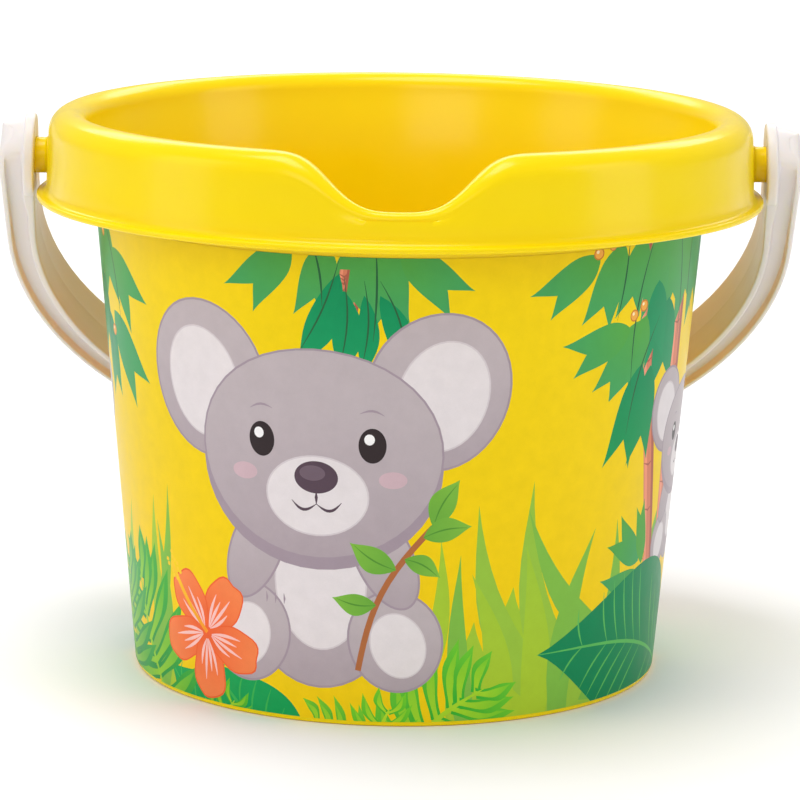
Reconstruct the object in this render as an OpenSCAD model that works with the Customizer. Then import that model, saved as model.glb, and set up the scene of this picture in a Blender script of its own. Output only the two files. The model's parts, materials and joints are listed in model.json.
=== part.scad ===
// Sand bucket with a pouring spout, a hanging skirt band round its rim, a press-fit
// carrying handle and a printed label moulded into its wall.
// Millimetres. +Z is up, the spout faces -Y, the handle turns about the X axis line.
// The bucket moulding is one physical piece in two nodes that meet along the rim's crest:
// bucket (floor and wall) and skirt (the hanging band with its lip and the two pegs).

/* [Bucket] */
// Total height of the bucket, foot to rim crest
height = 140; // [120:1:170]
// Outer radius of the wall at the foot
foot_r = 65.7; // [55:0.1:75]
// Growth of the wall radius for each millimetre of height
wall_taper = 0.0854; // [0.04:0.0001:0.14]
// Wall thickness, measured radially
wall = 1.5; // [1.2:0.1:2.5]
// Thickness of the floor
floor_t = 1.8; // [1.2:0.1:3]
// Height of the foot ring that lifts the floor off the ground
foot_h = 2.2; // [1:0.1:5]
// Width of the foot ring
foot_w = 2.6; // [1.5:0.1:6]

/* [Rim and skirt] */
// Radius of the rim's highest line
crest_r = 82; // [78:0.1:86]
// Radius of the rounding outside the crest
shoulder_r = 5.4; // [3:0.1:8]
// Radius of the rounding inside the crest
inner_r = 4.2; // [2:0.1:6]
// Outer radius of the flared lip under the skirt
lip_r = 90.4; // [88:0.1:94]
// Height of the underside of the lip
lip_z = 118.2; // [112:0.1:126]
// Thickness of the lip
lip_t = 1.5; // [1:0.1:2.5]

/* [Spout] */
// Depth of the spout below the crest
spout_depth = 12.8; // [6:0.1:16]
// Half width of the spout where it is half as deep
spout_half = 16; // [10:0.1:22]

/* [Pivot pegs] */
// Height of the pegs' axis
pivot_z = 127.6; // [124:0.1:132]
// Diameter of a peg
peg_d = 8.9; // [6:0.1:10]
// Radius that a peg's tip reaches
peg_end = 96.6; // [94:0.1:98]
// Radial play of a peg in its eye
play = 0.06; // [0.02:0.01:0.1]

/* [Handle] */
// Angle that the handle hangs below level, behind the bucket
hang = 47.5; // [40:0.1:60]
// Half the distance between the arms' inner faces where they are widest apart
arm_x = 91.9; // [91:0.1:95]
// Half the distance between the inner faces on the pegs' axis
ear_x = 91; // [90.9:0.05:94]
// Length of the straight part of an arm, pivot to curve
arm_l = 24.3; // [10:0.1:40]
// Depth of the curve, from the arms' ends to the grip's inner face
curve_l = 87.2; // [70:0.1:100]
// Depth of the section at the arms
deep_arm = 7.4; // [6:0.1:10]
// Depth of the section at the grip
deep_grip = 7; // [5:0.1:10]
// Width of the section
broad = 15.8; // [12:0.1:20]
// Thickness of the inner flange
flange_in = 1.8; // [1.2:0.1:3]
// Thickness of the outer flange
flange_out = 1.3; // [1:0.1:3]
// Thickness of the web between the flanges
web = 2.4; // [1.4:0.1:4]
// Depth of the shallow recess on the side that hangs down
recess = 2.25; // [1:0.05:3]
// Radius of the round ear on an arm's end
ear_r = 10.4; // [9:0.1:12.5]
// Thickness of the ear
ear_t = 2.6; // [1.5:0.1:4]

/* [Label] */
// Thickness of the label film
film = 0.12; // [0.08:0.01:0.3]
// Height of the label's lower edge
label_z0 = 1.2; // [0.5:0.1:5]
// Height of the label's upper edge
label_z1 = 115; // [105:0.1:115]

/* [Hidden] */
$fn = 96;
split_z = 115.2;
floor_top = foot_h + floor_t;
function wall_r(z) = foot_r + wall_taper * z;

// ---- rim section: the outer path runs from the lip over the crest and down the inside ----
function mix(a, b, k) = a * (1 - k) + b * k;
function bez(p, q, r, s, t) =
    p * pow(1 - t, 3) + q * 3 * t * pow(1 - t, 2) + r * 3 * t * t * (1 - t) + s * pow(t, 3);
function arc_pts(c, r, a0, a1, n) =
    [for (i = [0:n]) let (a = mix(a0, a1, i / n)) c + r * [cos(a), sin(a)]];
fall = [-0.3, -3.4];
turn = 90 + atan2(-fall[1], -fall[0]);
function rolled(rs, ri, top, s) = let (
    p = [crest_r + ri * cos(turn), top + ri * sin(turn) - ri])
    concat(
        arc_pts([crest_r, top - rs], rs, 0, 90, 9),
        arc_pts([crest_r, top - ri], ri, mix(90, turn, 0.17), mix(90, turn, 0.83), 4),
        [for (i = [0:6]) bez(p, p + fall, s + [wall_taper * 12, 12], s, i / 6)]);
over_path = concat(
    [[lip_r - 0.5, lip_z], [lip_r, lip_z + 0.5], [lip_r, lip_z + lip_t - 0.5],
     [lip_r - 0.5, lip_z + lip_t - 0.1]],
    arc_pts([89.55, lip_z + lip_t + 1.65], 1.6, 262, 186, 4),
    rolled(shoulder_r, inner_r, height, [wall_r(split_z) - wall, split_z]));
under_path = concat(
    [[lip_r - 1.2, lip_z], [lip_r - 2.4, lip_z], [lip_r - 3.2, lip_z], [86.7, lip_z],
     [86.65, lip_z + 0.9], [86.6, lip_z + 1.7], [86.55, lip_z + 2.5], [86.5, lip_z + 3.2],
     [86.48, lip_z + 3.6]],
    rolled(shoulder_r - wall, inner_r - wall, height - wall, [wall_r(split_z), split_z]));
function reversed(v) = [for (i = [len(v) - 1:-1:0]) v[i]];

// ---- the two sections, parted at the crest line, where both paths have the same index ----
crest_i = 18;
function part_of(v, i, j) = [for (k = [i:j]) v[k]];
last = len(over_path) - 1;
mid_path = [for (i = [0:last]) (over_path[i] + under_path[i]) / 2];
module skirt_section()
    polygon(concat(part_of(over_path, 0, crest_i), reversed(part_of(under_path, 0, crest_i))));
module bucket_section() {
    in_r = wall_r(floor_top) - wall;
    polygon(concat(
        [[0, foot_h], [foot_r - foot_w - 0.4, foot_h], [foot_r - foot_w, foot_h - 0.4],
         [foot_r - foot_w, 0], [foot_r - 0.7, 0], [foot_r - 0.2, 0.2], [foot_r + 0.06, 0.7]],
        reversed(part_of(under_path, crest_i, last)),
        part_of(over_path, crest_i, last),
        [[in_r + 0.24, floor_top + 2.8], [in_r - 0.35, floor_top + 1.2],
         [in_r - 1.4, floor_top + 0.3], [in_r - 3, floor_top], [0, floor_top]]));
}

// ---- spout: a smooth dip cut down through the roll, floored by a plate inside it ----
dip_x = [for (x = [-30:1.5:30]) x];
function dip_z(x) = height + 0.5 - (spout_depth + 0.5) * exp(-0.6931 * pow(abs(x) / spout_half, 3.3));
function dip_slope(x) = (dip_z(x + 0.05) - dip_z(x - 0.05)) / 0.1;
function dip_under(x) = let (m = dip_slope(x)) [x, dip_z(x)] + wall * [m, -1] / norm([m, 1]);
module across(h) translate([0, -58, 0]) rotate([90, 0, 0]) linear_extrude(h) children();
module spout_above() across(38)
    polygon(concat([for (x = dip_x) [x, dip_z(x)]], [[30, 150], [-30, 150]]));
module spout_floor(i, j) intersection() {
    across(34) polygon(concat([for (x = dip_x) if (abs(x) < 25) [x, dip_z(x)]],
        reversed([for (x = dip_x) if (abs(x) < 25) dip_under(x)])));
    rotate_extrude() polygon(concat(part_of(mid_path, i, j), [[crest_r, lip_z + 1]]));
}

// ---- pivot pegs on the skirt, standing straight out along X ----
module peg(side) {
    tip = 0.8;
    root = 86.8;
    rotate([0, side * 90, 0]) translate([-side * pivot_z, 0, 0]) {
        translate([0, 0, root]) cylinder(d = peg_d, h = peg_end - tip - root);
        translate([0, 0, peg_end - tip]) cylinder(d1 = peg_d, d2 = peg_d - 2 * tip, h = tip);
    }
}

module bucket() color([0.97, 0.84, 0.02]) {
    difference() {
        rotate_extrude() bucket_section();
        spout_above();
    }
    spout_floor(crest_i, last);
}

module skirt() color([0.97, 0.84, 0.02]) {
    difference() {
        rotate_extrude() skirt_section();
        spout_above();
    }
    spout_floor(8, crest_i);
    peg(1);
    peg(-1);
}

// ---- label: a film wrapped round the wall ----
module label() color([0.95, 0.78, 0.05]) rotate_extrude()
    polygon([[wall_r(label_z0), label_z0], [wall_r(label_z0) + film, label_z0],
             [wall_r(label_z1) + film, label_z1], [wall_r(label_z1), label_z1]]);

// ---- handle: drawn flat, in X and the direction of its reach, then hung on the pegs ----
lean = atan((arm_x - ear_x) / arm_l);
function arm_in(l) = ear_x + (arm_x - ear_x) * l / arm_l;
function bail_pt(a, off) = let (n = [cos(a) / arm_x, sin(a) / curve_l])
    [arm_x * cos(a), arm_l + curve_l * sin(a)] + off * n / norm(n);
function deep(a) = mix(deep_arm, deep_grip, pow(sin(a), 2));
function bail_curve(f, c) = [for (a = [0:4:180]) bail_pt(a, f * deep(a) + c)];
function mirrored(v) = [for (i = [len(v) - 1:-1:0]) [-v[i][0], v[i][1]]];
module bail_outline() {
    out = arm_x + deep_arm;
    end = [[out - 2.6, -8.3], [out - 1.3, -7.6], [out - 0.4, -6.6], [out, -5.4]];
    polygon(concat([[arm_in(-11), -11], [out - 5, -11]], end, bail_curve(1, 0), mirrored(end),
        [[5 - out, -11], [-arm_in(-11), -11]], reversed(bail_curve(0, 0))));
}
module bail_pocket(top) polygon(concat(top, bail_curve(1, -flange_out), mirrored(top),
    reversed(bail_curve(0, flange_in))));
pocket_out = arm_x + deep_arm - flange_out;
deep_top = [[arm_in(6.8) + flange_in, 7.2], [arm_in(6.8) + flange_in + 0.7, 6.5],
            [pocket_out - 1, 8], [pocket_out, 9]];
shallow_top = [[arm_in(16) + flange_in, 16], [arm_in(8) + ear_t + 0.15, 8],
               [arm_in(-11) + ear_t + 0.15, -11], [pocket_out, -11]];
module end_cut() difference() {
    translate([ear_x - 3, -15, -15]) cube([14, 15, 30]);
    rotate([0, 90, 0]) translate([0, 0, ear_x - 4]) cylinder(r = 9.6, h = 4.4);
    rotate([0, 90, 0]) translate([0, 0, ear_x + 0.4])
        cylinder(r1 = 9.6, r2 = broad / 2, h = arm_x + deep_arm - ear_x);
}
module ear() translate([ear_x, 0, 0]) rotate([0, 90, -lean]) cylinder(r = ear_r, h = ear_t);
module eye() rotate([0, 90, 0]) translate([0, 0, ear_x - 2])
    cylinder(r = peg_d / 2 + play, h = peg_end + 2.4 - ear_x);
module handle() color([0.93, 0.9, 0.84]) translate([0, 0, pivot_z]) rotate([-hang, 0, 0])
    difference() {
        union() {
            difference() {
                translate([0, 0, -broad / 2]) linear_extrude(broad) bail_outline();
                for (s = [0, 1]) mirror([s, 0, 0]) end_cut();
            }
            for (s = [0, 1]) mirror([s, 0, 0]) ear();
        }
        translate([0, 0, recess + web - broad / 2]) linear_extrude(20) bail_pocket(deep_top);
        translate([0, 0, recess - broad / 2 - 20]) linear_extrude(20) bail_pocket(shallow_top);
        for (s = [0, 1]) mirror([s, 0, 0]) eye();
    }

bucket();
skirt();
label();
handle();
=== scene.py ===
"""Looks for the sand bucket: the bucket moulding, its printed label film and its press-fit handle.

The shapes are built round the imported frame, in millimetres, and are scaled to metres when a mesh is made.
"""

import json
import math

import bmesh
import bpy
import numpy as np
from mathutils import Matrix, Vector
from mathutils.geometry import delaunay_2d_cdt


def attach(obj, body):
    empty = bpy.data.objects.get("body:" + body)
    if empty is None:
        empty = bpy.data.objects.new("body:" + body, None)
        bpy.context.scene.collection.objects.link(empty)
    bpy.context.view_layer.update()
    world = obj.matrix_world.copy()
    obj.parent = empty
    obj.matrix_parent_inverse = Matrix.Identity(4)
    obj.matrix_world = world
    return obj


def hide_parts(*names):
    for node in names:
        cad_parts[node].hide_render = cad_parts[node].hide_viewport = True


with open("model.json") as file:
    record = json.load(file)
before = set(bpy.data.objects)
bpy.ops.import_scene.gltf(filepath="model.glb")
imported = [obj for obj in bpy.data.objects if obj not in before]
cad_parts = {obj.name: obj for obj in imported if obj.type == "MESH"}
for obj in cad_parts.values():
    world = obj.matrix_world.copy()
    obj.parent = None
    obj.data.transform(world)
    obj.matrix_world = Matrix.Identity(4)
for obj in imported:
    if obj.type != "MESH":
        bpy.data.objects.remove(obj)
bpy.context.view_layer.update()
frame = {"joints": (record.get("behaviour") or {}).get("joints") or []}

MM = 0.001

# ---------------------------------------------------------------- sizes, in millimetres, as in part.scad
HEIGHT, FOOT_R, TAPER, WALL = 140.0, 65.7, 0.0854, 1.5
CREST_R, SHOULDER_R, INNER_R = 82.0, 5.4, 4.2
LIP_R, LIP_Z, LIP_T = 90.4, 118.2, 1.5
SPOUT_DEPTH, SPOUT_HALF, SPOUT_OUT = 12.8, 16.0, 3.6
DIP_R, DIP_RATE, DIP_POWER = 84, 0.6931, 3.3
FINE_STEP, FINE_N, COARSE_N = 0.6, 42, 206
SPLIT_Z = 115.2
FOOT_H, FLOOR_T = 2.2, 1.8
PEG_R, PEG_END = 4.45, 96.6
HANG = math.radians(47.5)
ARM_X, EAR_X, ARM_L, CURVE_L = 91.9, 91.0, 24.3, 87.2
DEEP_ARM, DEEP_GRIP, HALF_BROAD = 7.4, 7.0, 7.9
FLANGE_IN, FLANGE_OUT = 1.8, 1.3
EAR_R, EAR_T, EYE_R = 10.4, 2.6, 4.51
LABEL_Z0, LABEL_Z1, FILM = 1.2, 115.0, 0.12
PIVOT_Z = frame["joints"][0]["pos_m"][2] / MM
MEAN_R, SEAM, GRID_U, GRID_V = 70.7, 0.12, 150, 38
ROUND = 2 * math.pi * MEAN_R


def mix(a, b, t):
    return a + (b - a) * t


def clamp(x, lo=0.0, hi=1.0):
    return max(lo, min(hi, x))


def smooth(x):
    x = clamp(x)
    return x * x * (3 - 2 * x)


def wall_r(z):
    return FOOT_R + TAPER * z


# ---------------------------------------------------------------- mesh helpers
def make_object(name, verts, faces, sharp=None):
    """A mesh object from points in millimetres, welded, with its normals outward."""
    mesh = bpy.data.meshes.new(name)
    mesh.from_pydata([Vector(v) * MM for v in verts], [], faces)
    obj = bpy.data.objects.new(name, mesh)
    bpy.context.scene.collection.objects.link(obj)
    bm = bmesh.new()
    bm.from_mesh(mesh)
    bmesh.ops.remove_doubles(bm, verts=bm.verts, dist=2e-6)
    bmesh.ops.dissolve_degenerate(bm, edges=bm.edges, dist=1e-7)
    bmesh.ops.recalc_face_normals(bm, faces=bm.faces)
    bm.to_mesh(mesh)
    bm.free()
    mesh.polygons.foreach_set("use_smooth", [True] * len(mesh.polygons))
    if sharp is not None:
        mesh.set_sharp_from_angle(angle=math.radians(sharp))
    return obj


def grid_faces(rows, cols, wrap_rows=False, wrap_cols=False):
    """Quads between rows of points that are numbered row by row."""
    faces = []
    for i in range(rows if wrap_rows else rows - 1):
        for j in range(cols if wrap_cols else cols - 1):
            a, b = i * cols + j, i * cols + (j + 1) % cols
            c, d = ((i + 1) % rows) * cols + (j + 1) % cols, ((i + 1) % rows) * cols + j
            faces.append((a, b, c, d))
    return faces


def arc(cx, cy, r, a0, a1, n):
    """Points on an arc, angles in degrees."""
    turns = [math.radians(mix(a0, a1, i / n)) for i in range(n + 1)]
    return [(cx + r * math.cos(a), cy + r * math.sin(a)) for a in turns]


def bezier(p, q, r, s, n):
    """Points on a cubic curve from p to s."""
    out = []
    for i in range(n + 1):
        t = i / n
        w = ((1 - t) ** 3, 3 * t * (1 - t) ** 2, 3 * t * t * (1 - t), t ** 3)
        out.append(tuple(w[0] * p[j] + w[1] * q[j] + w[2] * r[j] + w[3] * s[j] for j in (0, 1)))
    return out


def joined(parts):
    """One pair of verts and faces from several."""
    verts, faces = [], []
    for v, f in parts:
        base = len(verts)
        verts += v
        faces += [tuple(base + i for i in face) for face in f]
    return verts, faces


# ---------------------------------------------------------------- bucket moulding
def rolled(rs, ri, top, end, k, up):
    """The rolled rim from the band over the crest and down into the wall, for a dip of k from 0 to 1."""
    crest = CREST_R + SPOUT_OUT * k
    fall = (mix(-0.3, -4.6, k), -3.4)
    turn = 90 + math.degrees(math.atan2(-fall[1], -fall[0]))
    c = math.radians(turn)
    p = (crest + ri * math.cos(c), top + ri * math.sin(c) - ri)
    lift = mix(12.0, up, k)
    r = (end[0] + TAPER * lift + 0.2 * k, end[1] + lift)
    reach = mix(1.0, 1.15, k)
    q = (p[0] + fall[0] * reach, p[1] + fall[1] * reach)
    shoulder = arc(crest, top - rs, rs, 0, 90, 12)
    inner = arc(crest, top - ri, ri, mix(90, turn, 0.12), mix(90, turn, 0.88), 7)
    return shoulder + inner + bezier(p, q, r, end, 12)


def bucket_profile(k):
    """The closed section, radius and height, from the axis under the floor round to the axis above it."""
    top = HEIGHT - SPOUT_DEPTH * k
    rs, ri = SHOULDER_R - SPOUT_OUT * k, INNER_R - 2.9 * k
    under_end = (wall_r(SPLIT_Z), SPLIT_Z)
    under = rolled(max(rs - WALL, 0.6), max(ri - WALL, 0.5), top - WALL, under_end, k, 2.4)
    over = rolled(rs, ri, top, (wall_r(SPLIT_Z) - WALL, SPLIT_Z), k, 3.4)
    floor_z = FOOT_H + FLOOR_T
    in_r = wall_r(floor_z + 3) - WALL
    # the gate mark and the underside of the floor, then the foot ring and the outside of the wall
    pts = [(0, 1.9), (1.4, 1.9), (1.9, 1.95), (2.2, 2.2)]
    pts += [(r, FOOT_H) for r in (2.6, 18, 40, 60.8)]
    pts += arc(61.9, 1.2, 1.0, 90, 0, 4) + [(63.0, 0.8)] + arc(63.45, 0.4, 0.4, 180, 270, 3)
    pts += [(64.3, 0.0)] + arc(65.0, 0.72, 0.72, 270, 355, 5) + [(wall_r(1.6), 1.6)]
    pts += [(wall_r(z), z) for z in (4, 12, 24, 38, 52, 66, 80, 92, 102, 109, 113)]
    # under the rim, down the inside of the skirt, round the lip and up the outside
    pts += under[::-1]
    pts += [(86.48, LIP_Z + 8), (86.5, LIP_Z + 3.4), (86.62, LIP_Z + 1.2)]
    pts += arc(86.95, LIP_Z + 0.3, 0.3, 180, 270, 3)
    pts += [(88.4, LIP_Z), (89.6, LIP_Z)] + arc(LIP_R - 0.55, LIP_Z + 0.55, 0.55, 270, 360, 4)
    pts += arc(LIP_R - 0.55, LIP_Z + LIP_T - 0.6, 0.55, 0, 80, 4)
    pts += arc(89.62, LIP_Z + LIP_T + 1.62, 1.66, 262, 186, 7)
    pts += [(87.93, LIP_Z + 4.2), (87.87, LIP_Z + 6)]
    band_top = (CREST_R + SPOUT_OUT * k + rs + 0.03, top - rs - 0.5)
    pts += [(mix(87.75, band_top[0], t), mix(LIP_Z + 7.2, band_top[1], t)) for t in (0.0, 0.5, 1.0)]
    # over the rim, down the inside of the wall and across the floor
    pts += over
    pts += [(wall_r(z) - WALL, z) for z in (113, 109, 102, 92, 80, 66, 52, 38, 24, 12, 8.5)]
    pts += arc(in_r - 3, floor_z + 3, 3.0, 0, -90, 6)
    pts += [(r, floor_z) for r in (54, 36, 18, 3, 0)]
    return pts


def dip(angle):
    """How far the spout has dipped at an angle from the front, 0 to 1; half way at SPOUT_HALF."""
    if abs(angle) > 0.5 * math.pi:
        return 0.0
    x = abs(DIP_R * math.sin(angle)) / SPOUT_HALF
    return max(0.0, (math.exp(-DIP_RATE * x ** DIP_POWER) - 0.001) / 0.999)


def bucket_shell():
    """The moulding's profile turned round the axis, in finer steps across the spout."""
    edge = FINE_STEP * FINE_N
    fine = [math.radians(i * FINE_STEP) for i in range(-FINE_N, FINE_N + 1)]
    rest = [math.radians(edge + i * (360 - 2 * edge) / COARSE_N) for i in range(1, COARSE_N)]
    angles = fine + rest
    verts = []
    for a in angles:
        verts += [(r * math.sin(a), -r * math.cos(a), z) for r, z in bucket_profile(dip(a))]
    return verts, grid_faces(len(angles), len(verts) // len(angles), wrap_rows=True)


def peg_shell(side):
    """A moulded peg: a shaft with a soft root and a rounded tip."""
    profile = [(86.9, 0.0), (86.9, PEG_R + 0.75)]
    profile += [(88.45 + 0.75 * math.cos(math.radians(a)), PEG_R + 0.75 + 0.75 * math.sin(math.radians(a)))
                for a in (180, 202, 225, 247, 270)]
    profile += [(90.5, PEG_R), (93, PEG_R), (PEG_END - 1.1, PEG_R)]
    tip, bends = 0.9, [math.radians(a) for a in (0, 22, 45, 67, 90)]
    profile += [(PEG_END - tip + tip * math.sin(a), PEG_R - tip + tip * math.cos(a)) for a in bends]
    profile += [(PEG_END, 2.0), (PEG_END, 0.0)]
    n = 48
    verts = []
    for i in range(n):
        a = 2 * math.pi * i / n
        verts += [(side * x, r * math.cos(a), PIVOT_Z + r * math.sin(a)) for x, r in profile]
    return verts, grid_faces(n, len(profile), wrap_rows=True)


# ---------------------------------------------------------------- handle
LEAN = math.atan((ARM_X - EAR_X) / ARM_L)
OUT_X = ARM_X + DEEP_ARM


def arm_in(l):
    """Where the arm's inner face is at reach l from the pivot."""
    return EAR_X + (ARM_X - EAR_X) * l / ARM_L


# the last of these is the strength of the painted bounce light: the bucket's yellow, painted into the
# handle's colour where it faces the bucket
RECESS, WEB, DRAFT, PAINTED_BOUNCE = 2.25, 2.4, 0.08, 0.72
FLOOR_W = HALF_BROAD - RECESS
DEEP_W = FLOOR_W - WEB


def half_section(floor):
    """One half of the section, round from the middle of the inner face to the middle of the outer one.

    Each entry is which face the depth starts from, the depth, the width where the block is solid and the
    width where the pocket is open.
    """
    w, r = HALF_BROAD, 0.6
    pts = [("in", d, x, x) for d, x in ((-0.07, 0.0), (-0.05, 0.25), (0.0, 0.6), (0.0, 3.2), (0.0, 6.2))]
    for a in (0, 22, 45, 67, 90):
        side = w - r + r * math.sin(math.radians(a))
        pts.append(("in", r - r * math.cos(math.radians(a)), side, side))
    drop = w - floor
    f = min(0.5, drop * 0.22)
    fillet = [(DRAFT + f * (1 - math.cos(math.radians(a))), floor + f * (1 - math.sin(math.radians(a))))
              for a in (35, 65, 90)]
    slope = [(t * DRAFT, w - 0.3 - (drop - 0.3 - f) * t) for t in (0.25, 0.5, 0.75, 1.0)]
    pts += [("in", 1.1, w, w), ("lip", -0.42, w, w), ("lip", -0.16, w, w - 0.10), ("lip", -0.03, w, w - 0.30)]
    pts += [("lip", d, w, x) for d, x in slope + fillet]
    pts += [("lip", 1.1, w, floor), ("mid", 0.5, w, floor)]
    pts += [("out", FLANGE_OUT + 0.9, w, floor)]
    pts += [("out", FLANGE_OUT + d, w, x) for d, x in fillet[::-1] + slope[::-1]]
    pts += [("out", 1.26, w, w - 0.28), ("out", 1.14, w, w - 0.09), ("out", 0.9, w, w), ("out", 0.7, w, w)]
    for a in (90, 67, 45, 22, 0):
        side = w - 0.5 + 0.5 * math.sin(math.radians(a))
        pts.append(("out", 0.5 - 0.5 * math.cos(math.radians(a)), side, side))
    pts += [("out", 0.0, 6.2, 6.2), ("out", -0.04, 3.2, 3.2), ("out", -0.06, 0.0, 0.0)]
    return pts


def full_section():
    """The whole closed section: the deep pocket on the upper edge and the shallow one on the lower."""
    upper = [(m, d, w1, w2, "deep") for m, d, w1, w2 in half_section(DEEP_W)]
    lower = [(m, d, -w1, -w2, "shallow") for m, d, w1, w2 in half_section(FLOOR_W)[-2:0:-1]]
    return upper + lower


def depth_at(mode, d, h, lip):
    """Distance from the inner face: the lip is the inner flange's edge, mid is half way across the pocket."""
    if mode == "in":
        return d
    if mode == "lip":
        return lip + d
    return 0.5 * (lip + h - FLANGE_OUT) if mode == "mid" else h - d


def arm_station(l):
    """Section points on an arm at reach l.

    The deep pocket starts below the pivot, and the shallow one runs out through the round end.
    """
    out = []
    for mode, d, w_block, w_open, side in full_section():
        h = OUT_X - arm_in(l)
        lip = mix(EAR_T + 0.15, FLANGE_IN, smooth((l - 7) / 10)) if side == "shallow" else FLANGE_IN
        p = depth_at(mode, d, h, lip)
        frac = clamp(p / h)
        r = mix(9.6, HALF_BROAD, smooth(clamp((p - 0.5) / (h - 0.5)) * 0.5) * 2)
        edge = min(p, h - p)
        if edge < 0.7:
            r -= 0.7 - math.sqrt(max(0.0, 0.49 - (0.7 - clamp(edge, 0, 0.7)) ** 2))
        lv = l * r / 9.6 if l < 0 else l
        reach = math.sqrt(max(0.0, r * r - lv * lv)) if l < 0 else HALF_BROAD
        if side == "deep":
            opened = smooth((l - mix(6.4, 8.7, frac)) / 1.1)
            w = mix(w_block, w_open, opened) * min(1.0, reach / HALF_BROAD)
        else:
            w = w_block * min(1.0, reach / HALF_BROAD)
            soft, gap = 0.35, abs(w) - abs(w_open)
            sink = gap + soft * (math.exp(-gap / soft) - 1) if gap > 0 else 0
            w = math.copysign(abs(w) - sink, w_open or w)
        x = arm_in(lv) + p
        if lv < -4.6:
            x = min(x, OUT_X - 3.2 * (1 - math.sqrt(max(0.0, 1 - ((-lv - 4.6) / 3.6) ** 2))))
        out.append((x, lv, w))
    return out


def curve_station(a):
    """Section points on the curved part at the ellipse angle a, in radians."""
    n = Vector((math.cos(a) / ARM_X, math.sin(a) / CURVE_L)).normalized()
    base = Vector((ARM_X * math.cos(a), ARM_L + CURVE_L * math.sin(a)))
    h = mix(DEEP_ARM, DEEP_GRIP, math.sin(a) ** 2)
    out = []
    for mode, d, _, w, _ in full_section():
        q = base + n * depth_at(mode, d, h, FLANGE_IN)
        out.append((q.x, q.y, w))
    return out


def hung(p):
    """From the handle's own plane (across, reach, width) to the row frame."""
    x, l, w = p
    return (x, l * math.cos(HANG) + w * math.sin(HANG), PIVOT_Z - l * math.sin(HANG) + w * math.cos(HANG))


def handle_sweep():
    """The handle from one round end over the grip to the other."""
    tops = [-9.6 * math.sin(math.radians(t)) for t in (90, 86, 80, 73, 65, 57, 49, 42, 36, 30, 22, 12)]
    arms = tops + [0, 2, 4, 5.4] + [6.2 + 0.28 * i for i in range(15)] + [11, 12.5, 15, 18, 21.2]
    rows = [arm_station(l) for l in arms]
    rows += [curve_station(math.radians(a)) for a in range(0, 91, 3)]
    mirror = [[(-x, l, w) for x, l, w in row] for row in rows[-2::-1]]
    rows += mirror
    verts = [hung(p) for row in rows for p in row]
    return verts, grid_faces(len(rows), len(rows[0]), wrap_cols=True)


def ear_ring(side):
    """The round ear on an arm's end, as a ring round the eye."""
    profile = [(0.25, EYE_R), (0.0, EYE_R + 0.3), (0.0, 7.5), (0.0, EAR_R - 0.75)]
    edge, bends = 0.6, [math.radians(a) for a in (12, 35, 60, 90)]
    profile += [(edge - edge * math.cos(a), EAR_R - edge + edge * math.sin(a)) for a in bends]
    profile += [(EAR_T - 0.9, EAR_R)]
    profile += [(EAR_T - edge + edge * math.sin(a), EAR_R - edge + edge * math.cos(a)) for a in bends]
    profile += [(EAR_T, 7.5), (EAR_T, EYE_R + 0.2), (EAR_T * 0.6, EYE_R)]
    n = 72
    verts = []
    for i in range(n):
        a = 2 * math.pi * i / n
        for t, r in profile:
            t -= 0.05
            x = EAR_X + t * math.cos(LEAN) + r * math.cos(a) * math.sin(LEAN)
            l = -t * math.sin(LEAN) + r * math.cos(a) * math.cos(LEAN)
            verts.append(hung((side * x, l, r * math.sin(a))))
    return verts, grid_faces(n, len(profile), wrap_rows=True, wrap_cols=True)


def paint_bounce_light(obj):
    """Painted bounce light: marks how far each point of the handle faces the bucket, whose yellow is painted
    into the handle's colour as reflected light.
    """
    mesh = obj.data
    layer = mesh.attributes.new(name="painted_bounce", type="FLOAT", domain="POINT")
    values = []
    for v in mesh.vertices:
        p, n = v.co / MM, v.normal
        y, z = p.y, p.z - PIVOT_Z
        l = y * math.cos(HANG) - z * math.sin(HANG)
        nl = n.y * math.cos(HANG) - n.z * math.sin(HANG)
        out = Vector((p.x / ARM_X, max(0.0, l - ARM_L) / CURVE_L)).normalized()
        facing = -(n.x * out.x + nl * out.y)
        # painted bounce light, strongest on faces turned to the bucket and further from the pivot
        values.append(PAINTED_BOUNCE * smooth((facing - 0.35) / 0.6) * smooth((l - 4) / 20))
    layer.data.foreach_set("value", values)


def eye_cutter():
    """Two straight bars along the pivot line, as wide as the eyes."""
    verts, faces = [], []
    for side in (1, -1):
        base = len(verts)
        n = 64
        for x in (EAR_X - 6, PEG_END + 0.4):
            for i in range(n):
                a = 2 * math.pi * (i + 0.5) / n
                verts.append((side * x, EYE_R * math.cos(a), PIVOT_Z + EYE_R * math.sin(a)))
        faces += [(base + i, base + (i + 1) % n, base + n + (i + 1) % n, base + n + i) for i in range(n)]
        faces += [tuple(base + i for i in range(n)), tuple(base + n + i for i in range(n - 1, -1, -1))]
    return make_object("eye_cutter", verts, faces)


def cut(obj, cutter):
    """obj minus cutter, applied to its mesh; the cutter is removed."""
    mod = obj.modifiers.new("cut", "BOOLEAN")
    mod.operation, mod.solver, mod.object = "DIFFERENCE", "EXACT", cutter
    bpy.context.view_layer.update()
    mesh = bpy.data.meshes.new_from_object(obj.evaluated_get(bpy.context.evaluated_depsgraph_get()))
    obj.modifiers.clear()
    obj.data = mesh
    bpy.data.objects.remove(cutter)


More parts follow.
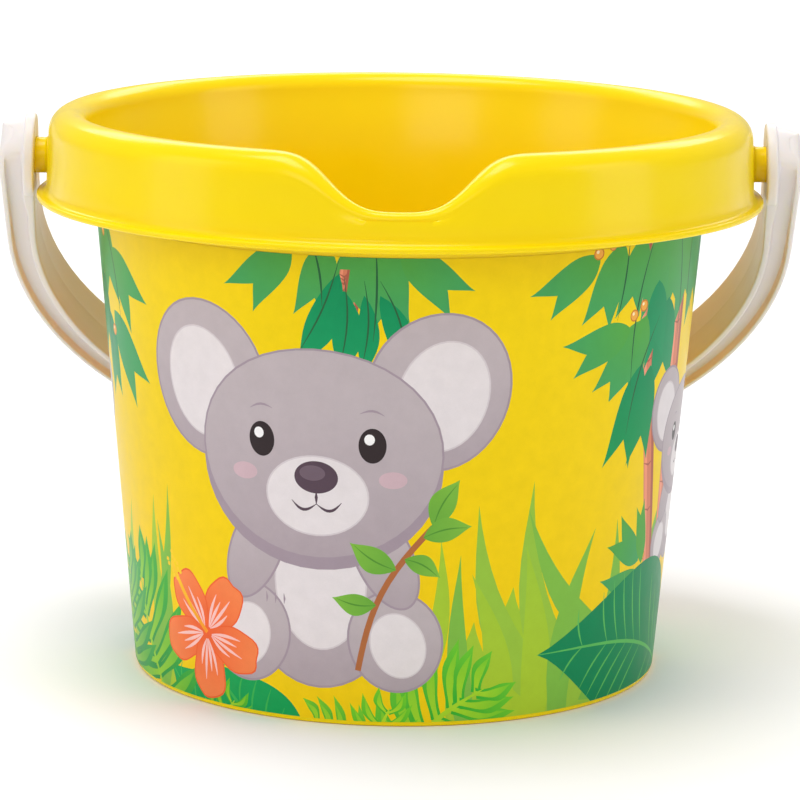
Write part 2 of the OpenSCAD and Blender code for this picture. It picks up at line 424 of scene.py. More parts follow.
# ---------------------------------------------------------------- the label's picture
# Every shape is an outline on the unrolled wall: u runs round it in millimetres from the front,
# and v is the height.
YELLOW, YELLOW_LOW = (243, 210, 2), (243, 205, 4)
LEAF_DARK, LEAF_MID, LEAF_BLUE = (12, 140, 88), (84, 165, 66), (66, 160, 96)
LIME, LIME_PALE, LIME_DEEP = (176, 204, 48), (158, 196, 62), (128, 186, 70)
VEIN, LINE = (92, 186, 92), (44, 96, 62)
BARK, BARK_DARK, BARK_PALE = (214, 128, 98), (176, 96, 76), (238, 150, 120)
FUR, FUR_EDGE, FUR_SHADE = (189, 177, 181), (163, 147, 158), (175, 161, 168)
CREAM, CREAM_SHADE = (228, 220, 222), (212, 202, 206)
DARK, NOSE, NOSE_LIGHT = (52, 42, 44), (88, 70, 82), (112, 94, 106)
ORANGE, ORANGE_DEEP, PINK = (246, 132, 76), (238, 96, 48), (250, 196, 190)
POLLEN = (250, 206, 40)
shapes = []


def linear(c):
    """An 8-bit screen colour as linear light."""
    return tuple((x / 255 / 12.92) if x / 255 <= 0.04045 else ((x / 255 + 0.055) / 1.055) ** 2.4 for x in c)


def paint(pts, c0, c1=None, along=None):
    """Adds an outline. With c1, the colour runs from c0 to c1 between the two points of along."""
    shapes.append((pts, linear(c0), linear(c1) if c1 else None, along))


def ellipse(u, v, ru, rv, turn=0.0, n=44):
    c, s = math.cos(math.radians(turn)), math.sin(math.radians(turn))
    round_it = [2 * math.pi * i / n for i in range(n)]
    return [(u + ru * math.cos(a) * c - rv * math.sin(a) * s, v + ru * math.cos(a) * s + rv * math.sin(a) * c)
            for a in round_it]


def blade(base, tip, width, bend=0.0, belly=0.35, foot=0.0, n=12):
    """A pointed leaf between two points.

    bend bows it sideways, belly says where it is widest, and foot how wide it starts.
    """
    (u0, v0), (u1, v1) = base, tip
    du, dv = u1 - u0, v1 - v0
    length = math.hypot(du, dv)
    nu, nv = -dv / length, du / length
    left, right = [], []
    for i in range(n + 1):
        t = i / n
        s = (t / belly) if t < belly else (1 - t) / (1 - belly)
        half = width * 0.5 * (math.sin(0.5 * math.pi * clamp(s)) ** (0.8 if t < belly else 1.25))
        if t < belly:
            half = mix(foot * width * 0.5, half, clamp(s)) if foot else half
        off = bend * math.sin(math.pi * t)
        cu, cv = u0 + du * t + nu * off, v0 + dv * t + nv * off
        left.append((cu + nu * half, cv + nv * half))
        right.append((cu - nu * half, cv - nv * half))
    return left + right[0 if foot else 1:-1][::-1]


def stroke(path, width, taper=True):
    """A thin line along a path, pointed at its ends."""
    left, right = [], []
    n = len(path)
    for i, (u, v) in enumerate(path):
        a, b = path[max(0, i - 1)], path[min(n - 1, i + 1)]
        du, dv = b[0] - a[0], b[1] - a[1]
        d = math.hypot(du, dv) or 1.0
        fine = mix(0.12, 1.0, math.sin(math.pi * clamp(i / (n - 1), 0.02, 0.98))) if taper else 1.0
        w = width * 0.5 * fine
        left.append((u - dv / d * w, v + du / d * w))
        right.append((u + dv / d * w, v - du / d * w))
    return left + right[::-1]


def bowed(p, q, bend, n=8):
    """A path from p to q that bows sideways by bend."""
    du, dv = q[0] - p[0], q[1] - p[1]
    d = math.hypot(du, dv)
    return [(mix(p[0], q[0], i / n) - dv / d * bend * math.sin(math.pi * i / n),
             mix(p[1], q[1], i / n) + du / d * bend * math.sin(math.pi * i / n)) for i in range(n + 1)]


def polar(p, angle, r):
    return (p[0] + r * math.cos(math.radians(angle)), p[1] + r * math.sin(math.radians(angle)))


def fork(u, v, a0, a1, size, c0, c1, wide=0.36):
    """A forked leaf: two pointed prongs at the angles a0 and a1 that share a rounded root."""
    for a, side in ((a0, -1), (a1, 1)):
        tip = polar((u, v), a, size * (1.0 if side < 0 else 0.96))
        bend = -side * 0.05 * size * (1 if a1 > a0 else -1)
        paint(blade((u, v), tip, size * wide, bend, belly=0.36, n=14), c0, c1, ((u, v), tip))


def veined(base, tip, width, bend, c0, c1, vein, ribs=7):
    """A broad leaf with a midrib and side ribs."""
    outline = blade(base, tip, width, bend, belly=0.42, n=22)
    paint(outline, c0, c1, (base, tip))
    mid = bowed(base, tip, bend, 16)
    du, dv = tip[0] - base[0], tip[1] - base[1]
    d = math.hypot(du, dv)
    nu, nv = -dv / d, du / d
    for i in range(ribs):
        t = mix(0.14, 0.82, i / (ribs - 1))
        s = (t / 0.42) if t < 0.42 else (1 - t) / 0.58
        half = width * 0.5 * math.sin(0.5 * math.pi * clamp(s)) * 0.86
        m = mid[int(t * 16)]
        for side in (1, -1):
            end = (m[0] + du / d * half * 0.55 + nu * half * side,
                   m[1] + dv / d * half * 0.55 + nv * half * side)
            paint(stroke(bowed(m, end, -0.8 * side, 6), 0.55), vein)
    paint(stroke(mid, 0.95), vein)


def lobed(base, angle, size, c_edge, c_mid, c_light, lobes=6):
    """A split leaf: striped finger lobes on both sides of a bowed midrib."""
    tip = polar(base, angle, size)
    mid = bowed(base, tip, size * 0.08, 12)
    for i in range(lobes):
        t = mix(0.12, 0.94, i / (lobes - 1))
        m = mid[int(t * 12)]
        reach = size * 0.62 * math.sin(math.pi * mix(0.22, 0.86, t)) + 2
        for side in (1, -1):
            a = angle + side * mix(86, 26, t)
            end = polar(m, a, reach)
            wide = size * 0.15
            paint(blade(m, end, wide, bend=side * 1.4, belly=0.55, foot=0.7), c_edge, c_mid, (m, end))
            stripe = blade(m, polar(m, a, reach * 0.86), wide * 0.5, bend=side * 1.2, belly=0.5, foot=0.6)
            paint(stripe, c_light, c_mid, (m, end))
    paint(stroke(mid, 1.3), c_light)


def flower(p, size, turn):
    """A five-petalled flower with pale streaks and a long stamen."""
    for i in range(5):
        a = turn + 72 * i
        c = polar(p, a, size * 0.52)
        pts = []
        for j in range(34):
            w = 2 * math.pi * j / 34
            x, y = math.cos(w), math.sin(w)
            notch = math.exp(-(((w + math.pi) % (2 * math.pi) - math.pi) / 0.3) ** 2)
            r = size * 0.5 * (1.0 - 0.035 * math.cos(6 * w + 1.3 * i) - 0.07 * notch)
            pts.append((r * x, r * y * mix(0.46, 0.78, (x + 1) / 2)))
        ca, sa = math.cos(math.radians(a)), math.sin(math.radians(a))
        rim = [(c[0] + 1.05 * x * ca - 1.07 * y * sa, c[1] + 1.05 * x * sa + 1.07 * y * ca) for x, y in pts]
        body = [(c[0] + x * ca - y * sa, c[1] + x * sa + y * ca) for x, y in pts]
        paint(rim, ORANGE_DEEP)
        paint(body, ORANGE_DEEP, ORANGE, (p, polar(p, a, size * 0.9)))
    for i in range(5):
        a = turn + 72 * i
        for j, (da, r1) in enumerate(((-17, 0.54), (-6, 0.74), (5, 0.60), (15, 0.66))):
            path = bowed(polar(p, a + da * 0.6, size * 0.10), polar(p, a + da, size * r1), 0.3 * (j - 1.5), 6)
            paint(stroke(path, 0.85), PINK)
    top = polar(p, 128, size * 1.22)
    paint(stroke(bowed(p, top, 0.9, 8), 1.15, taper=False), POLLEN, (248, 150, 40), (top, p))
    for i in range(12):
        q = polar(polar(p, 128, size * (0.95 + 0.034 * i)), 128 + 90 * (-1) ** i, 0.9 + 0.35 * (i % 3))
        paint(ellipse(q[0], q[1], 0.55, 0.55, n=10), POLLEN)


def berry(u, v, r):
    paint(ellipse(u, v, r, r, n=18), (206, 122, 44))
    paint(ellipse(u, v, r * 0.78, r * 0.78, n=18), (240, 172, 72))
    paint(ellipse(u - 0.25 * r, v + 0.3 * r, r * 0.28, r * 0.28, n=10), (253, 232, 186))


def cub(u, v, s, dim=1.0):
    """A plain seated cub, drawn from ellipses."""
    def tone(c):
        return tuple(x * dim for x in c)

    def part(du, dv, ru, rv, turn=0.0, fill=FUR, edge=FUR_EDGE, grow=0.55, grad=None):
        if edge:
            paint(ellipse(u + du * s, v + dv * s, ru * s + grow, rv * s + grow, turn), tone(edge))
        c = (u + du * s, v + dv * s)
        if grad:
            paint(ellipse(c[0], c[1], ru * s, rv * s, turn), tone(fill), tone(grad),
                  ((c[0], c[1] + rv * s * 0.4), (c[0], c[1] - rv * s)))
        else:
            paint(ellipse(c[0], c[1], ru * s, rv * s, turn), tone(fill))

    for side in (-1, 1):
        part(side * 29, 18, 16.5, 19, -side * 14, grad=FUR_SHADE)
        part(side * 30, 17, 10.4, 13.4, -side * 14, CREAM, CREAM_SHADE, 0.4)
    part(0, -31, 21, 25, fill=FUR, grad=FUR_SHADE)
    part(0.5, -30, 11.5, 16.5, 0, CREAM, CREAM_SHADE, 0.4)
    for side in (-1, 1):
        part(side * 19.5, -44, 11.4, 12.6, side * 24, grad=FUR_SHADE)
        part(side * 20.2, -45, 6.6, 8.2, side * 24, CREAM, CREAM_SHADE, 0.35)
    for side in (-1, 1):
        part(side * 16.5, -23, 6.6, 13.5, side * 26, grad=FUR_SHADE)
        for j in (-1, 0, 1):
            a = (u + (side * 11.4 + 2.4 * j) * s, v - 33.4 * s)
            toe = [(a[0], a[1]), (a[0] + 0.15 * s, a[1] - 1.4 * s), (a[0], a[1] - 2.7 * s)]
            paint(stroke(toe, 0.55 * s), tone(FUR_EDGE))
    paint(ellipse(u, v + (2 - 3.4) * s, 30.4 * s, 25.2 * s), tone(FUR_EDGE))
    part(0, 2, 30, 25.5, grad=FUR_SHADE, grow=0.5)
    part(0, -8.2, 12.5, 9.6, 0, CREAM, CREAM_SHADE, 0.4)
    paint(ellipse(u, v - 3.6 * s, 5.4 * s, 4.0 * s), tone(NOSE))
    paint(ellipse(u - 0.9 * s, v - 2.6 * s, 3.2 * s, 1.9 * s), tone(NOSE_LIGHT))
    for side in (-1, 1):
        smile = bowed((u, v - 10.2 * s), (u + side * 6.2 * s, v - 9.6 * s), -side * 1.9 * s, 10)
        paint(stroke(smile, 0.75 * s), tone(NOSE))
        paint(ellipse(u + side * 18.5 * s, v - 3.6 * s, 3.4 * s, 2.1 * s, n=20), tone((205, 176, 184)))
        paint(ellipse(u + side * 13.6 * s, v + 4.8 * s, 3.3 * s, 4.3 * s), tone(DARK))
        paint(ellipse(u + side * 13.6 * s - 0.7 * s, v + 6.3 * s, 1.25 * s, 1.35 * s, n=16), (246, 244, 244))
        brow = bowed((u + side * 10.6 * s, v + 12.6 * s), (u + side * 16.4 * s, v + 12.2 * s), side * s, 6)
        paint(stroke(brow, 0.6 * s), tone(FUR_EDGE))
    paint(stroke([(u, v - 7.0 * s), (u, v - 8.6 * s), (u, v - 10.4 * s)], 0.8 * s), tone(NOSE))


def trunk(u, lean, width, v0, v1):
    """A tall jointed stem with a lit side and a shaded side."""
    def at(v, t):
        return (u + lean * (v - v0) / 100 + width * t, v)
    steps = [mix(v0, v1, i / 10) for i in range(11)]
    paint([at(v, -0.5) for v in steps] + [at(v, 0.5) for v in steps[::-1]], BARK)
    paint([at(v, -0.42) for v in steps] + [at(v, -0.16) for v in steps[::-1]], BARK_PALE)
    paint([at(v, 0.24) for v in steps] + [at(v, 0.5) for v in steps[::-1]], BARK_DARK)
    for i in range(1, 9):
        v = mix(v0, v1, i / 9) + 2.0 * math.sin(2.3 * i)
        a, b = at(v, -0.5), at(v + 0.6, 0.5)
        paint(stroke([a, ((a[0] + b[0]) / 2, v - 0.7), b], 0.6), BARK_DARK)


def picture(o):
    """One scene, as wide as half the label, about the offset o."""
    # soft grass at the back, low and tall
    for u, v, tu, tv, w, b, c in (
            (36, -8, 30, 34, 20, 3, LIME), (52, -8, 48, 30, 20, 0, LIME), (24, -8, 20, 26, 15, 2, LIME),
            (68, -8, 64, 30, 20, 0, LIME_PALE), (60, -4, 34, 60, 11, 10, LIME_PALE),
            (50, -2, 20, 55, 10, 9, LIME_PALE), (66, 14, 33, 53, 7, 6, LIME_DEEP),
            (38, -6, 33, 44, 9, -2, LIME), (46, -4, 54, 46, 8, 4, LIME_DEEP),
            (20, -6, 16, 43, 6, 2, LIME_DEEP), (28, -6, 19, 38, 8, -3, LIME),
            (56, 2, 62, 47, 7, -4, LIME_DEEP), (8, 10, 11, 47, 5, -2, LIME),
            (-68, -4, -71, 50, 7, 3, LIME), (-74, -4, -70, 44, 6, -4, LIME_DEEP),
            (-80, 4, -64, 54, 5, -4, LIME_DEEP), (-90, -4, -86, 46, 7, 3, LIME),
            (-100, -4, -106, 40, 9, 3, LIME_PALE), (78, 10, 92, 58, 6, 4, LIME_DEEP),
            (96, -4, 92, 28, 10, -2, LIME_PALE), (106, -4, 112, 38, 8, 3, LIME)):
        ends = ((u + o, v), (tu + o, tv))
        deeper = tuple(mix(x, y, 0.35) for x, y in zip(c, LIME_DEEP))
        paint(blade(*ends, w, b, belly=0.3, foot=0.9), c, deeper, ends)
    # hanging leaves over the middle
    trunk(-12 + o, 8, 3.4, 84, 118)
    for u, v, a0, a1, size, c in (
            (-24, 117, 212, 240, 20, LEAF_MID), (-16, 118, 246, 270, 19, LEAF_MID),
            (-9, 119, 254, 279, 21, LEAF_MID), (-3, 119, 264, 286, 21, LEAF_MID),
            (0.5, 117, 304, 329, 20, LEAF_MID)):
        fork(u + o, v, a0, a1, size, c, LEAF_BLUE)
    trunk(-13 + o, 14, 2.2, 103, 112)
    for u, v, tu, tv, w in (
            (-13, 111, -23, 88, 7.5), (-12, 107, -13, 86, 7), (-7.5, 106, -8, 86, 5),
            (-4, 106, 2, 88, 6)):
        ends = ((u + o, v), (tu + o, tv))
        paint(blade(*ends, w, 1.2, belly=0.5), LEAF_DARK, (22, 156, 96), ends)
        paint(stroke(bowed((u + o, v + 3.5), (tu + o, tv + 3), 1.2, 8), 0.42), LINE)
    # the left edge
    for u, v, a0, a1, size, c in (
            (-98, 117, 244, 272, 26, LEAF_BLUE), (-91, 118, 262, 292, 26, LEAF_MID),
            (-104, 100, 248, 276, 26, LEAF_DARK), (-97, 102, 256, 286, 25, LEAF_DARK),
            (-85, 109, 294, 327, 22, LEAF_MID), (-91, 92, 262, 284, 22, LEAF_DARK),
            (-87, 93, 296, 321, 25, LEAF_BLUE)):
        fork(u + o, v, a0, a1, size, c, LEAF_BLUE, 0.34)
    # the right edge, with its stems
    trunk(85 + o, -21, 5.4, 8, 122)
    trunk(90 + o, -7, 6.4, -4, 122)
    for u, v, a0, a1, size, c in (
            (84, 118, 262, 292, 27, LEAF_MID), (93, 118, 262, 290, 28, LEAF_BLUE),
            (101, 118, 266, 296, 26, LEAF_DARK), (76, 118, 262, 288, 25, LEAF_MID),
            (69, 118, 256, 284, 23, LEAF_MID), (76, 100, 256, 284, 24, LEAF_DARK),
            (70, 105, 262, 286, 22, LEAF_DARK), (62, 117, 248, 272, 21, LEAF_MID),
            (55, 116, 240, 263, 22, LEAF_MID), (48, 113.5, 205, 229, 20, LEAF_MID),
            (66, 97, 240, 262, 23, LEAF_MID), (64, 96, 226, 243, 22, LEAF_MID),
            (60, 94.5, 186, 211, 21, LEAF_MID)):
        fork(u + o, v, a0, a1, size, c, LEAF_BLUE if c != LEAF_DARK else (24, 150, 96))
    fork(66 + o, 85, 244, 266, 27, LEAF_DARK, (20, 150, 84), 0.30)
    fork(70 + o, 84, 254, 276, 25, LEAF_DARK, (20, 150, 84), 0.30)
    for u, v, tu, tv, b in (
            (-19, 118, -17, 103, 0.6), (-5, 118, -5.5, 95, 0.5), (57, 117, 55, 97, 0.6),
            (67, 118, 62, 80, -2.5), (79, 118, 84, 88, 1), (-91, 119, -82, 90, 2), (72, 96, 62, 68, -2),
            (88, 118, 90, 92, -1), (-95, 104, -92, 78, 1)):
        paint(stroke(bowed((u + o, v), (tu + o, tv), b, 12), 0.5), LINE)
    for u, v, r in (
            (47.5, 114, 1.5), (51.6, 115.4, 1.1), (61, 97.5, 1.5), (64.5, 99.5, 1.5), (-92, 112, 1.4),
            (-88, 88, 1.5), (74, 37, 1.2), (76.4, 35, 1.2)):
        berry(u + o, v, r)
    cub(99 + o, 61, 0.55, 0.97)
    # low leaves
    fork(74 + o, 34, 128, 158, 17, LEAF_BLUE, LEAF_MID)
    fork(77 + o, 29, 172, 196, 20, LEAF_MID, LEAF_BLUE)
    fork(76 + o, 33, 96, 110, 17, LEAF_MID, LEAF_MID, 0.3)
    paint(stroke(bowed((79 + o, 30), (56 + o, 20), 1.5, 8), 0.5), LINE)
    veined((112 + o, -4), (38 + o, 16), 44, -7, (12, 140, 84), (8, 132, 84), VEIN, ribs=10)
    veined((-36 + o, -10), (-68 + o, 8), 26, 3, (14, 150, 80), (30, 168, 84), (66, 184, 84), ribs=6)
    veined((-22 + o, -12), (-52 + o, 12), 24, 2, (14, 156, 84), (24, 164, 86), (60, 180, 84), ribs=6)
    lobed((-70 + o, -4), 112, 36, (36, 150, 70), (70, 178, 60), (150, 206, 52), lobes=7)
    lobed((-94 + o, -6), 92, 34, (30, 142, 78), (62, 170, 70), (140, 200, 60), lobes=7)
    lobed((2 + o, -9), 40, 28, (54, 176, 52), (110, 200, 48), (168, 214, 44), lobes=7)
    lobed((-6 + o, -8), 150, 17, (60, 172, 52), (120, 202, 48), (170, 214, 44), lobes=5)
    cub(-19 + o, 65, 0.99)
    # a sprig in front of the cub
    twig = bowed((-9 + o, 14), (9 + o, 50), 3.5, 12)
    paint(stroke(twig, 1.5, taper=False), (176, 106, 62))
    for k, a, size in ((12, 62, 13), (11, 12, 12), (9, -28, 10), (8, 150, 13), (5, 172, 11)):
        tip = polar(twig[k], a, size)
        leaf = blade(twig[k], tip, size * 0.5, bend=0.8, belly=0.45, n=14)
        paint(leaf, (104, 168, 60), (128, 186, 66), (twig[k], tip))
        paint(stroke(bowed(twig[k], polar(twig[k], a, size * 0.9), 0.8, 8), 0.4), (84, 146, 52))
    lobed((-4 + o, -10), 78, 15, (60, 180, 46), (118, 206, 44), (182, 220, 44), lobes=5)
    lobed((-50 + o, -10), 64, 14, (46, 166, 52), (100, 196, 48), (160, 210, 48), lobes=5)
    flower((-52 + o, 18.6), 16.5, 54)


def winding(poly, pts):
    """How many times an outline goes round each point."""
    a, b = poly, np.roll(poly, -1, axis=0)
    u, v = pts[:, :1], pts[:, 1:]
    side = (b[:, 0] - a[:, 0]) * (v - a[:, 1]) - (u - a[:, 0]) * (b[:, 1] - a[:, 1])
    rise = (a[:, 1] <= v) & (b[:, 1] > v) & (side > 0)
    drop = (a[:, 1] > v) & (b[:, 1] <= v) & (side < 0)
    return rise.sum(axis=1) - drop.sum(axis=1)


def label_mesh():
    """The film. The picture's outlines and a fine grid are triangulated together, and each triangle takes
    the colour of its topmost shape."""
    half = ROUND / 2
    lo, hi = -half + SEAM, half - SEAM
    picture(0.0)
    picture(half)
    frame_pts = [(lo, LABEL_Z0), (hi, LABEL_Z0), (hi, LABEL_Z1), (lo, LABEL_Z1)]
    drawn = [(frame_pts, linear(YELLOW_LOW), linear(YELLOW), ((0, 20), (0, 95)))]
    for pts, c0, c1, along in shapes:
        for shift in (-ROUND, 0.0, ROUND):
            us = [p[0] + shift for p in pts]
            if max(us) > lo and min(us) < hi:
                moved = along and tuple((a[0] + shift, a[1]) for a in along)
                drawn.append(([(p[0] + shift, p[1]) for p in pts], c0, c1, moved))
    coords, edges = [], []
    for pts, *_ in drawn:
        base, n = len(coords), len(pts)
        edges += [(base + i, base + (i + 1) % n) for i in range(n)]
        coords += [Vector(p) for p in pts]
    for i in range(GRID_U + 1):
        for j in range(GRID_V + 1):
            coords.append(Vector((mix(lo, hi, i / GRID_U), mix(LABEL_Z0, LABEL_Z1, j / GRID_V))))
    verts, _, tris, *_ = delaunay_2d_cdt(coords, edges, [], 0, 1e-4, False)
    flat = np.array([(v[0], v[1]) for v in verts])
    centre = flat[np.array(tris)].mean(axis=1)
    top = np.full(len(tris), -1)
    for k, (pts, *_) in enumerate(drawn):
        poly = np.array(pts)
        (u0, v0), (u1, v1) = poly.min(axis=0), poly.max(axis=0)
        near = np.nonzero((centre[:, 0] > u0) & (centre[:, 0] < u1)
                          & (centre[:, 1] > v0) & (centre[:, 1] < v1))[0]
        if len(near):
            top[near[winding(poly, centre[near]) != 0]] = k
    frame_in = ((centre[:, 0] > lo) & (centre[:, 0] < hi)
                & (centre[:, 1] > LABEL_Z0) & (centre[:, 1] < LABEL_Z1))
    keep = [(t, k) for t, k, ok in zip(tris, top.tolist(), frame_in.tolist()) if ok and k >= 0]
    used = sorted({i for t, _ in keep for i in t})
    index = {v: i for i, v in enumerate(used)}
    outer, inner, normals = [], [], []
    slope = math.hypot(1, TAPER)
    for i in used:
        u, v = verts[i]
        a, r = u / MEAN_R, wall_r(v)
        n = (math.sin(a) / slope, -math.cos(a) / slope, -TAPER / slope)
        outer.append(((r + FILM) * math.sin(a), -(r + FILM) * math.cos(a), v))
        inner.append((r * math.sin(a), -r * math.cos(a), v))
        normals.append(n)
    n = len(used)
    faces, colours, edges = [], [], set()
    for t, top in keep:
        ids = [index[i] for i in t]
        corners = [verts[i] for i in t]
        area = sum(a[0] * b[1] - b[0] * a[1] for a, b in zip(corners, corners[1:] + corners[:1]))
        if abs(area) < 1e-9:
            continue
        if area < 0:
            ids.reverse()
        faces.append(tuple(ids))
        _, c0, c1, along = drawn[top]
        for i in ids:
            c = c0
            if c1:
                p, (a, b) = verts[used[i]], along
                d = (b[0] - a[0], b[1] - a[1])
                s = clamp(((p[0] - a[0]) * d[0] + (p[1] - a[1]) * d[1]) / (d[0] ** 2 + d[1] ** 2))
                c = tuple(mix(c0[k], c1[k], s) for k in range(3))
            colours.append(c)
        edges.update((ids[k], ids[(k + 1) % 3]) for k in range(3))
    border = sorted(e for e in edges if (e[1], e[0]) not in edges)
    front = len(faces)
    faces += [tuple(n + i for i in reversed(f)) for f in faces[:front]]
    faces += [(b, a, n + a, n + b) for a, b in border]
    mesh = bpy.data.meshes.new("label_film")
    mesh.from_pydata([Vector(v) * MM for v in outer + inner], [], faces)
    layer = mesh.color_attributes.new(name="print", type="FLOAT_COLOR", domain="CORNER")
    values = []
    for c in colours:
        values += [*c, 1.0]
    values += [*linear(YELLOW), 1.0] * (len(mesh.loops) - len(colours))
    layer.data.foreach_set("color", values)
    mesh.polygons.foreach_set("use_smooth", [True] * len(mesh.polygons))
    mesh.normals_split_custom_set_from_vertices(
        [Vector(v) for v in normals] + [Vector(v) * -1 for v in normals])
    obj = bpy.data.objects.new("label_film", mesh)
    bpy.context.scene.collection.objects.link(obj)
    return obj


# ---------------------------------------------------------------- materials
def new_material(name):
    mat = bpy.data.materials.new(name)
    mat.use_nodes = True
    nodes = mat.node_tree.nodes
    nodes.clear()
    out = nodes.new("ShaderNodeOutputMaterial")
    shader = nodes.new("ShaderNodeBsdfPrincipled")
    mat.node_tree.links.new(shader.outputs["BSDF"], out.inputs["Surface"])
    return mat, nodes, mat.node_tree.links, shader


def noise(nodes, links, coord, scale, detail=3.0, rough=0.5):
    node = nodes.new("ShaderNodeTexNoise")
    node.inputs["Scale"].default_value = scale
    node.inputs["Detail"].default_value = detail
    node.inputs["Roughness"].default_value = rough
    links.new(coord, node.inputs["Vector"])
    return node.outputs["Fac"]


def ramp(nodes, links, value, lo, hi, out_lo, out_hi):
    node = nodes.new("ShaderNodeMapRange")
    node.inputs["From Min"].default_value = lo
    node.inputs["From Max"].default_value = hi
    node.inputs["To Min"].default_value = out_lo
    node.inputs["To Max"].default_value = out_hi
    links.new(value, node.inputs["Value"])
    return node.outputs["Result"]


def blend_colour(nodes, links, fac, a, b, mode="MIX"):
    node = nodes.new("ShaderNodeMix")
    node.data_type, node.blend_type = "RGBA", mode
    for socket, value in ((node.inputs[0], fac), (node.inputs[6], a), (node.inputs[7], b)):
        if hasattr(value, "is_output"):
            links.new(value, socket)
        elif isinstance(value, (int, float)):
            socket.default_value = value
        else:
            socket.default_value = (*value, 1.0)
    return node.outputs[2]


def plastic(name, colour, deep, scatter, rough, shine, painted_bounce_tint=None):
    """Injection-moulded plastic: slow thickness tone, flow marks, fine moulded grain and hairline scuffs,
    and, where a tint is given, painted bounce light: the bucket's reflected yellow mixed into the colour.
    """
    mat, nodes, links, shader = new_material(name)
    coord = nodes.new("ShaderNodeTexCoord").outputs["Object"]
    slow = noise(nodes, links, coord, 16.0, 2.0)
    cloud = noise(nodes, links, coord, 90.0, 4.0, 0.55)
    tone = blend_colour(nodes, links, ramp(nodes, links, slow, 0.35, 0.65, 0.0, 0.5), colour, deep)
    lighter = tuple(min(1, c * 1.08) for c in colour)
    tone = blend_colour(nodes, links, ramp(nodes, links, cloud, 0.3, 0.8, 0.0, 0.16), tone, lighter)
    # painted bounce light: the tint is mixed in by the bounce attribute, standing in for yellow light
    # reflected from the bucket
    if painted_bounce_tint:
        painted_bounce = nodes.new("ShaderNodeAttribute")
        painted_bounce.attribute_name = "painted_bounce"
        tone = blend_colour(nodes, links, painted_bounce.outputs["Fac"], tone, painted_bounce_tint)
    links.new(tone, shader.inputs["Base Color"])
    stretch = nodes.new("ShaderNodeMapping")
    stretch.inputs["Scale"].default_value = (1.0, 1.0, 22.0)
    stretch.inputs["Rotation"].default_value = (0.5, 0.9, 0.2)
    links.new(coord, stretch.inputs["Vector"])
    scuff = noise(nodes, links, stretch.outputs["Vector"], 160.0, 5.0, 0.7)
    scuff = ramp(nodes, links, scuff, 0.55, 0.80, 0.0, 0.05)
    patch = ramp(nodes, links, cloud, 0.35, 0.7, rough - 0.02, rough + 0.04)
    total = nodes.new("ShaderNodeMath")
    total.operation = "ADD"
    links.new(patch, total.inputs[0])
    links.new(scuff, total.inputs[1])
    links.new(total.outputs[0], shader.inputs["Roughness"])
    grain = noise(nodes, links, coord, 2600.0, 2.0)
    orange_peel = noise(nodes, links, coord, 420.0, 2.0)
    fine = nodes.new("ShaderNodeBump")
    fine.inputs["Strength"].default_value = 0.05
    fine.inputs["Distance"].default_value = 0.00006
    links.new(grain, fine.inputs["Height"])
    broad = nodes.new("ShaderNodeBump")
    broad.inputs["Strength"].default_value = 0.12
    broad.inputs["Distance"].default_value = 0.0002
    links.new(orange_peel, broad.inputs["Height"])
    links.new(fine.outputs["Normal"], broad.inputs["Normal"])
    links.new(broad.outputs["Normal"], shader.inputs["Normal"])
    shader.inputs["IOR"].default_value = 1.49
    shader.inputs["Specular IOR Level"].default_value = shine
    shader.inputs["Subsurface Weight"].default_value = scatter
    shader.inputs["Subsurface Radius"].default_value = (1.0, 0.7, 0.25)
    shader.inputs["Subsurface Scale"].default_value = 0.0022
    return mat


def printed_film():
    """The film: its ink colours come from the mesh, under a thin clear gloss with a faint print grain."""
    mat, nodes, links, shader = new_material("printed_film")
    coord = nodes.new("ShaderNodeTexCoord").outputs["Object"]
    ink = nodes.new("ShaderNodeAttribute")
    ink.attribute_name = "print"
    mottle = noise(nodes, links, coord, 260.0, 4.0, 0.6)
    grain = noise(nodes, links, coord, 5200.0, 1.0)
    shade = ramp(nodes, links, mottle, 0.3, 0.7, 0.97, 1.03)
    speck = ramp(nodes, links, grain, 0.3, 0.7, 0.985, 1.015)
    both = nodes.new("ShaderNodeMath")
    both.operation = "MULTIPLY"
    links.new(shade, both.inputs[0])
    links.new(speck, both.inputs[1])
    grey = nodes.new("ShaderNodeCombineColor")
    for i in range(3):
        links.new(both.outputs[0], grey.inputs[i])
    colour = blend_colour(nodes, links, 1.0, ink.outputs["Color"], grey.outputs[0], "MULTIPLY")
    links.new(colour, shader.inputs["Base Color"])
    links.new(ramp(nodes, links, mottle, 0.3, 0.7, 0.30, 0.37), shader.inputs["Roughness"])
    bump = nodes.new("ShaderNodeBump")
    bump.inputs["Strength"].default_value = 0.10
    bump.inputs["Distance"].default_value = 0.00012
    links.new(noise(nodes, links, coord, 380.0, 2.0), bump.inputs["Height"])
    links.new(bump.outputs["Normal"], shader.inputs["Normal"])
    shader.inputs["IOR"].default_value = 1.48
    shader.inputs["Specular IOR Level"].default_value = 0.14
    return mat


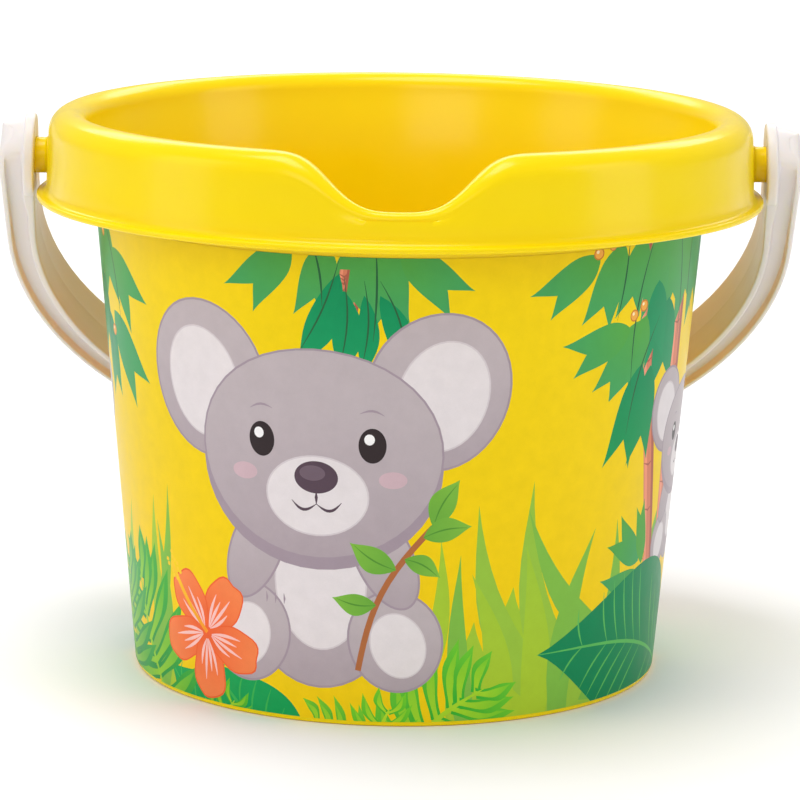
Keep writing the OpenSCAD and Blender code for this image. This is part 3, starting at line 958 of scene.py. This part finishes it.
# ---------------------------------------------------------------- camera, light and floor
def studio():
    """The camera at the photo's angle, five plain softboxes and a pale floor."""
    scene = bpy.context.scene
    elevation, roll, distance = math.radians(11.367), math.radians(0.782), 0.97465
    aim = Vector((0.00066, 0.0, 0.06649))
    data = bpy.data.cameras.new("camera")
    data.sensor_width, data.lens = 36.0, 173.8278
    data.clip_start, data.clip_end = 0.05, 20.0
    cam = bpy.data.objects.new("camera", data)
    scene.collection.objects.link(cam)
    turn = Matrix.Rotation(math.pi / 2 - elevation, 4, "X") @ Matrix.Rotation(roll, 4, "Z")
    back = turn @ Vector((0, 0, 1))
    cam.matrix_world = Matrix.Translation(aim + back.normalized() * distance) @ turn
    scene.camera = cam

    world = bpy.data.worlds.new("world")
    world.use_nodes = True
    sky = world.node_tree.nodes["Background"]
    sky.inputs["Color"].default_value = (1.0, 1.0, 1.0, 1.0)
    sky.inputs["Strength"].default_value = 0.44
    scene.world = world
    for name, place, size, power in (
            ("top_softbox", (-0.15, -0.10, 1.25), (0.75, 0.55), 8.4),
            ("front_softbox", (-0.45, -1.5, 0.75), (0.8, 0.7), 4.0),
            ("left_strip", (-1.1, -0.35, 0.45), (0.5, 1.0), 2.3),
            ("right_strip", (1.1, -0.35, 0.45), (0.5, 1.0), 3.0),
            ("back_softbox", (0.0, 1.7, 1.3), (2.4, 0.9), 22.0)):
        light = bpy.data.lights.new(name, "AREA")
        light.shape, light.size, light.size_y, light.energy = "RECTANGLE", size[0], size[1], power
        obj = bpy.data.objects.new(name, light)
        obj.location = place
        target = Vector((0, 1.3 if name == "back_softbox" else 0, 0.07))
        obj.rotation_euler = (target - Vector(place)).to_track_quat("-Z", "Y").to_euler()
        scene.collection.objects.link(obj)
    scene.view_settings.view_transform = "Standard"
    scene.view_settings.look = "None"

    n = 12
    floor_side, floor_z = 8000, -0.05
    verts = [((x / n - 0.5) * floor_side, (y / n - 0.5) * floor_side, floor_z)
             for y in range(n + 1) for x in range(n + 1)]
    floor = make_object("floor", verts, grid_faces(n + 1, n + 1))
    for p in floor.data.polygons:
        if p.normal.z < 0:
            floor.data.flip_normals()
            break
    mat, nodes, links, shader = new_material("pale_floor")
    coord = nodes.new("ShaderNodeTexCoord").outputs["Object"]
    cloud = noise(nodes, links, coord, 3.0, 3.0)
    tone = blend_colour(nodes, links, cloud, (0.93, 0.93, 0.93), (0.96, 0.96, 0.96))
    links.new(tone, shader.inputs["Base Color"])
    shader.inputs["Roughness"].default_value = 0.75
    floor.data.materials.append(mat)


studio()

yellow = plastic("yellow_plastic", (0.94, 0.69, 0.001), (0.93, 0.665, 0.001), 0.10, 0.20, 0.22)
# the handle's tan tint is painted bounce light from the yellow bucket
cream = plastic("cream_plastic", (0.79, 0.735, 0.71), (0.765, 0.70, 0.67), 0.20, 0.38, 0.3,
                painted_bounce_tint=(0.86, 0.54, 0.21))

verts, faces = joined([bucket_shell(), peg_shell(1), peg_shell(-1)])
bucket = make_object("bucket_moulding", verts, faces, sharp=50)
bucket.data.materials.append(yellow)
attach(bucket, "bucket")
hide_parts("bucket", "skirt")

label = label_mesh()
label.data.materials.append(printed_film())
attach(label, "bucket")
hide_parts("label")

sweep = make_object("handle_bail", *handle_sweep())
cut(sweep, eye_cutter())
rings = make_object("handle_ears", *joined([ear_ring(1), ear_ring(-1)]))
for obj in (sweep, rings):
    obj.data.polygons.foreach_set("use_smooth", [True] * len(obj.data.polygons))
    obj.data.set_sharp_from_angle(angle=math.radians(42))
    # paints the bucket's yellow bounce light into the handle's colour
    paint_bounce_light(obj)
    obj.data.materials.clear()
    obj.data.materials.append(cream)
    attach(obj, "handle")
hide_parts("handle")
